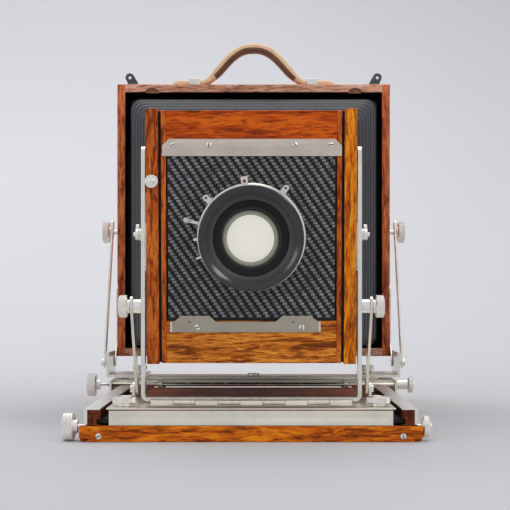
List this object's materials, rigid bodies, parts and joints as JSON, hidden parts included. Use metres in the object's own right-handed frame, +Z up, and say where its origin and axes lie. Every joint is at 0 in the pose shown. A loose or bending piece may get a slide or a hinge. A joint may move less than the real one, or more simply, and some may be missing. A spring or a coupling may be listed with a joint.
{
  "type": "view camera",
  "caption": "Folding wooden field camera with extended bed, pleated bellows, lens in a square board, geared focusing and a tilting, swinging rear box.",
  "frame": {"origin": "mouth of the tripod socket, on the underside of the rear bed", "axes": "+Z up, -Y the way the lens looks, +X to the right of someone looking at the lens"},
  "size_m": [0.3624, 0.4983, 0.4206],
  "materials": {
    "wood": "varnished mahogany",
    "panel_wood": "varnished mahogany, lighter, with horizontal grain",
    "nickel": "nickel plated, knurled or brushed",
    "steel": "brushed steel",
    "black_metal": "black anodised",
    "dark_lug": "dark oxidised metal",
    "leather": "tan saddle leather",
    "bellows_leather": "black pleated leather",
    "board_black": "black woven texture",
    "lens_glass": "coated glass",
    "ground_glass": "ground glass",
    "brass": "lacquered brass",
    "white": "white tip"
  },
  "bodies": {
    "bed": {"rear_bed": "wood", "tripod_plate": "nickel", "front_bed": "wood", "bed_hinges": "brass", "guide_rails": "wood", "side_strips": "steel", "bed_racks": "nickel"},
    "track": {"track": "wood", "track_plate": "steel", "track_racks": "nickel", "front_carriage": "steel", "hinge_pin": "nickel"},
    "front_pinion": {"front_pinion": "nickel", "front_focus_knob": "nickel"},
    "front_lock": {"front_lock_knob": "nickel"},
    "left_clamp": {"left_clamp_knob": "nickel"},
    "right_clamp": {"right_clamp_knob": "nickel"},
    "yoke": {"yoke": "steel"},
    "struts": {"struts": "steel"},
    "left_strut_knob": {"left_strut_knob": "nickel"},
    "right_strut_knob": {"right_strut_knob": "nickel"},
    "riser": {"rise_plates": "steel"},
    "left_lever": {"left_tilt_lever": "nickel"},
    "right_lever": {"right_tilt_lever": "nickel"},
    "front_frame": {"front_frame": "wood"},
    "frame_button": {"frame_button": "nickel"},
    "lens_panel": {"front_panel": "panel_wood", "top_plate": "nickel", "lens_board": "board_black", "shutter": "black_metal", "front_cell": "black_metal", "front_glass": "lens_glass", "rear_cell": "black_metal", "rear_glass": "lens_glass"},
    "latch": {"board_latch": "nickel"},
    "speed_ring": {"speed_ring": "nickel"},
    "cocking_lever": {"cocking_lever": "white"},
    "release_lever": {"release_lever": "nickel"},
    "aperture_lever": {"aperture_lever": "nickel"},
    "rear_slide": {"rear_carriage": "steel"},
    "rear_pinion": {"rear_pinion": "nickel", "rear_focus_knob": "nickel"},
    "rear_lock": {"rear_lock_knob": "nickel"},
    "swing": {"swing_plate": "steel", "rear_brackets": "steel"},
    "left_swing_knob": {"left_swing_knob": "nickel"},
    "right_swing_knob": {"right_swing_knob": "nickel"},
    "side_arms": {"side_arms": "steel"},
    "rear_standard": {"rear_box": "wood", "box_plates": "steel", "box_hardware": "dark_lug", "handle": "leather", "back_frame": "wood", "back_springs": "nickel", "bellows": "bellows_leather"},
    "back_latch": {"back_latch": "nickel"},
    "left_arm_knob": {"left_arm_knob": "nickel"},
    "right_arm_knob": {"right_arm_knob": "nickel"},
    "glass": {"glass_holder": "wood", "ground_glass": "ground_glass"}
  },
  "joints": [
    {"name": "front_focus", "type": "slide", "parent": "bed", "child": "track", "axis": [0, -1, 0], "range_m": [0, 0.12], "deforming": ["bellows"]},
    {"name": "front_pinion_turn", "type": "hinge", "parent": "bed", "child": "front_pinion", "pos_m": [0, -0.372, 0.0122], "axis": [1, 0, 0], "range_deg": [-5, 1730]},
    {"name": "front_lock_turn", "type": "hinge", "parent": "bed", "child": "front_lock", "pos_m": [0.15, -0.372, 0.0122], "axis": [1, 0, 0], "range_deg": [0, 180]},
    {"name": "left_clamp_turn", "type": "hinge", "parent": "track", "child": "left_clamp", "pos_m": [-0.1116, -0.36, 0.034], "axis": [0, 0, 1], "range_deg": [0, 180]},
    {"name": "right_clamp_turn", "type": "hinge", "parent": "track", "child": "right_clamp", "pos_m": [0.1116, -0.36, 0.034], "axis": [0, 0, 1], "range_deg": [0, 180]},
    {"name": "base_tilt", "type": "hinge", "parent": "track", "child": "yoke", "pos_m": [0, -0.341, 0.0308], "axis": [1, 0, 0], "range_deg": [-1.5, 3], "deforming": ["bellows"]},
    {"name": "strut_turn", "type": "hinge", "parent": "track", "child": "struts", "pos_m": [0, -0.272, 0.038], "axis": [1, 0, 0], "range_deg": [-2, 3]},
    {"name": "left_strut_knob_turn", "type": "hinge", "parent": "yoke", "child": "left_strut_knob", "pos_m": [-0.11, -0.323, 0.116], "axis": [-1, 0, 0], "range_deg": [0, 180]},
    {"name": "right_strut_knob_turn", "type": "hinge", "parent": "yoke", "child": "right_strut_knob", "pos_m": [0.11, -0.323, 0.116], "axis": [1, 0, 0], "range_deg": [0, 180]},
    {"name": "front_rise", "type": "slide", "parent": "yoke", "child": "riser", "axis": [0, 0, 1], "range_m": [-0.02, 0.03], "deforming": ["bellows"]},
    {"name": "left_lever_turn", "type": "hinge", "parent": "riser", "child": "left_lever", "pos_m": [-0.103, -0.323, 0.181], "axis": [1, 0, 0], "range_deg": [0, 60]},
    {"name": "right_lever_turn", "type": "hinge", "parent": "riser", "child": "right_lever", "pos_m": [0.103, -0.323, 0.181], "axis": [1, 0, 0], "range_deg": [0, 60]},
    {"name": "front_tilt", "type": "hinge", "parent": "riser", "child": "front_frame", "pos_m": [0, -0.323, 0.181], "axis": [1, 0, 0], "range_deg": [-10, 8], "deforming": ["bellows"]},
    {"name": "panel_rise", "type": "slide", "parent": "front_frame", "child": "lens_panel", "axis": [0, -0.0698, 0.9976], "range_m": [-0.008, 0.03]},
    {"name": "frame_button_turn", "type": "hinge", "parent": "front_frame", "child": "frame_button", "pos_m": [-0.0895, -0.33732, 0.22812], "axis": [0, -0.9976, -0.0698], "range_deg": [0, 90]},
    {"name": "latch_slide", "type": "slide", "parent": "lens_panel", "child": "latch", "axis": [1, 0, 0], "range_m": [0, 0.01]},
    {"name": "speed_ring_turn", "type": "hinge", "parent": "lens_panel", "child": "speed_ring", "pos_m": [0, -0.33483, 0.17817], "axis": [0, -0.9976, -0.0698], "range_deg": [-150, 30]},
    {"name": "cocking_lever_turn", "type": "hinge", "parent": "lens_panel", "child": "cocking_lever", "pos_m": [0, -0.3458, 0.1774], "axis": [0, -0.9976, -0.0698], "range_deg": [-12, 0], "stiffness_Nm_per_rad": 0.05, "springref_deg": 5.73},
    {"name": "release_lever_turn", "type": "hinge", "parent": "lens_panel", "child": "release_lever", "pos_m": [0, -0.3458, 0.1774], "axis": [0, -0.9976, -0.0698], "range_deg": [0, 8], "stiffness_Nm_per_rad": 0.05, "springref_deg": -5.73},
    {"name": "aperture_lever_turn", "type": "hinge", "parent": "lens_panel", "child": "aperture_lever", "pos_m": [0, -0.3458, 0.1774], "axis": [0, -0.9976, -0.0698], "range_deg": [-10, 10]},
    {"name": "rear_focus", "type": "slide", "parent": "bed", "child": "rear_slide", "axis": [0, 1, 0], "range_m": [-0.03, 0.03], "deforming": ["bellows"]},
    {"name": "rear_pinion_turn", "type": "hinge", "parent": "rear_slide", "child": "rear_pinion", "pos_m": [0, -0.06, 0.0268], "axis": [1, 0, 0], "range_deg": [-365, 365]},
    {"name": "rear_lock_turn", "type": "hinge", "parent": "rear_slide", "child": "rear_lock", "pos_m": [0.174, -0.06, 0.0268], "axis": [1, 0, 0], "range_deg": [0, 180]},
    {"name": "rear_swing", "type": "hinge", "parent": "rear_slide", "child": "swing", "pos_m": [0, -0.022, 0.033], "axis": [0, 0, 1], "range_deg": [-8, 8], "deforming": ["bellows"]},
    {"name": "left_swing_knob_turn", "type": "hinge", "parent": "swing", "child": "left_swing_knob", "pos_m": [-0.129, -0.022, 0.04], "axis": [0, 0, 1], "range_deg": [0, 180]},
    {"name": "right_swing_knob_turn", "type": "hinge", "parent": "swing", "child": "right_swing_knob", "pos_m": [0.129, -0.022, 0.04], "axis": [0, 0, 1], "range_deg": [0, 180]},
    {"name": "rear_tilt", "type": "hinge", "parent": "swing", "child": "rear_standard", "pos_m": [0, 0, 0.05], "axis": [-1, 0, 0], "range_deg": [-5, 15], "deforming": ["bellows"]},
    {"name": "side_arm_turn", "type": "hinge", "parent": "swing", "child": "side_arms", "pos_m": [0, -0.04, 0.0506], "axis": [-1, 0, 0], "range_deg": [-5, 14]},
    {"name": "left_arm_knob_turn", "type": "hinge", "parent": "rear_standard", "child": "left_arm_knob", "pos_m": [-0.17, 0.035, 0.2], "axis": [-1, 0, 0], "range_deg": [0, 180]},
    {"name": "right_arm_knob_turn", "type": "hinge", "parent": "rear_standard", "child": "right_arm_knob", "pos_m": [0.17, 0.035, 0.2], "axis": [1, 0, 0], "range_deg": [0, 180]},
    {"name": "glass_spring", "type": "slide", "parent": "rear_standard", "child": "glass", "axis": [0, 1, 0], "range_m": [0, 0.012], "stiffness_N_per_m": 1500, "springref_m": -0.005, "deforming": ["back_springs"]},
    {"name": "back_latch_slide", "type": "slide", "parent": "rear_standard", "child": "back_latch", "axis": [0, -1, 0], "range_m": [0, 0.01]}
  ],
  "couplings": [
    {"joint": "front_pinion_turn", "follows": "front_focus", "rad_per_m": 250},
    {"joint": "strut_turn", "follows": "base_tilt", "ratio": 0.655},
    {"joint": "rear_pinion_turn", "follows": "rear_focus", "rad_per_m": -208.33},
    {"joint": "side_arm_turn", "follows": "rear_tilt", "ratio": 0.88}
  ]
}
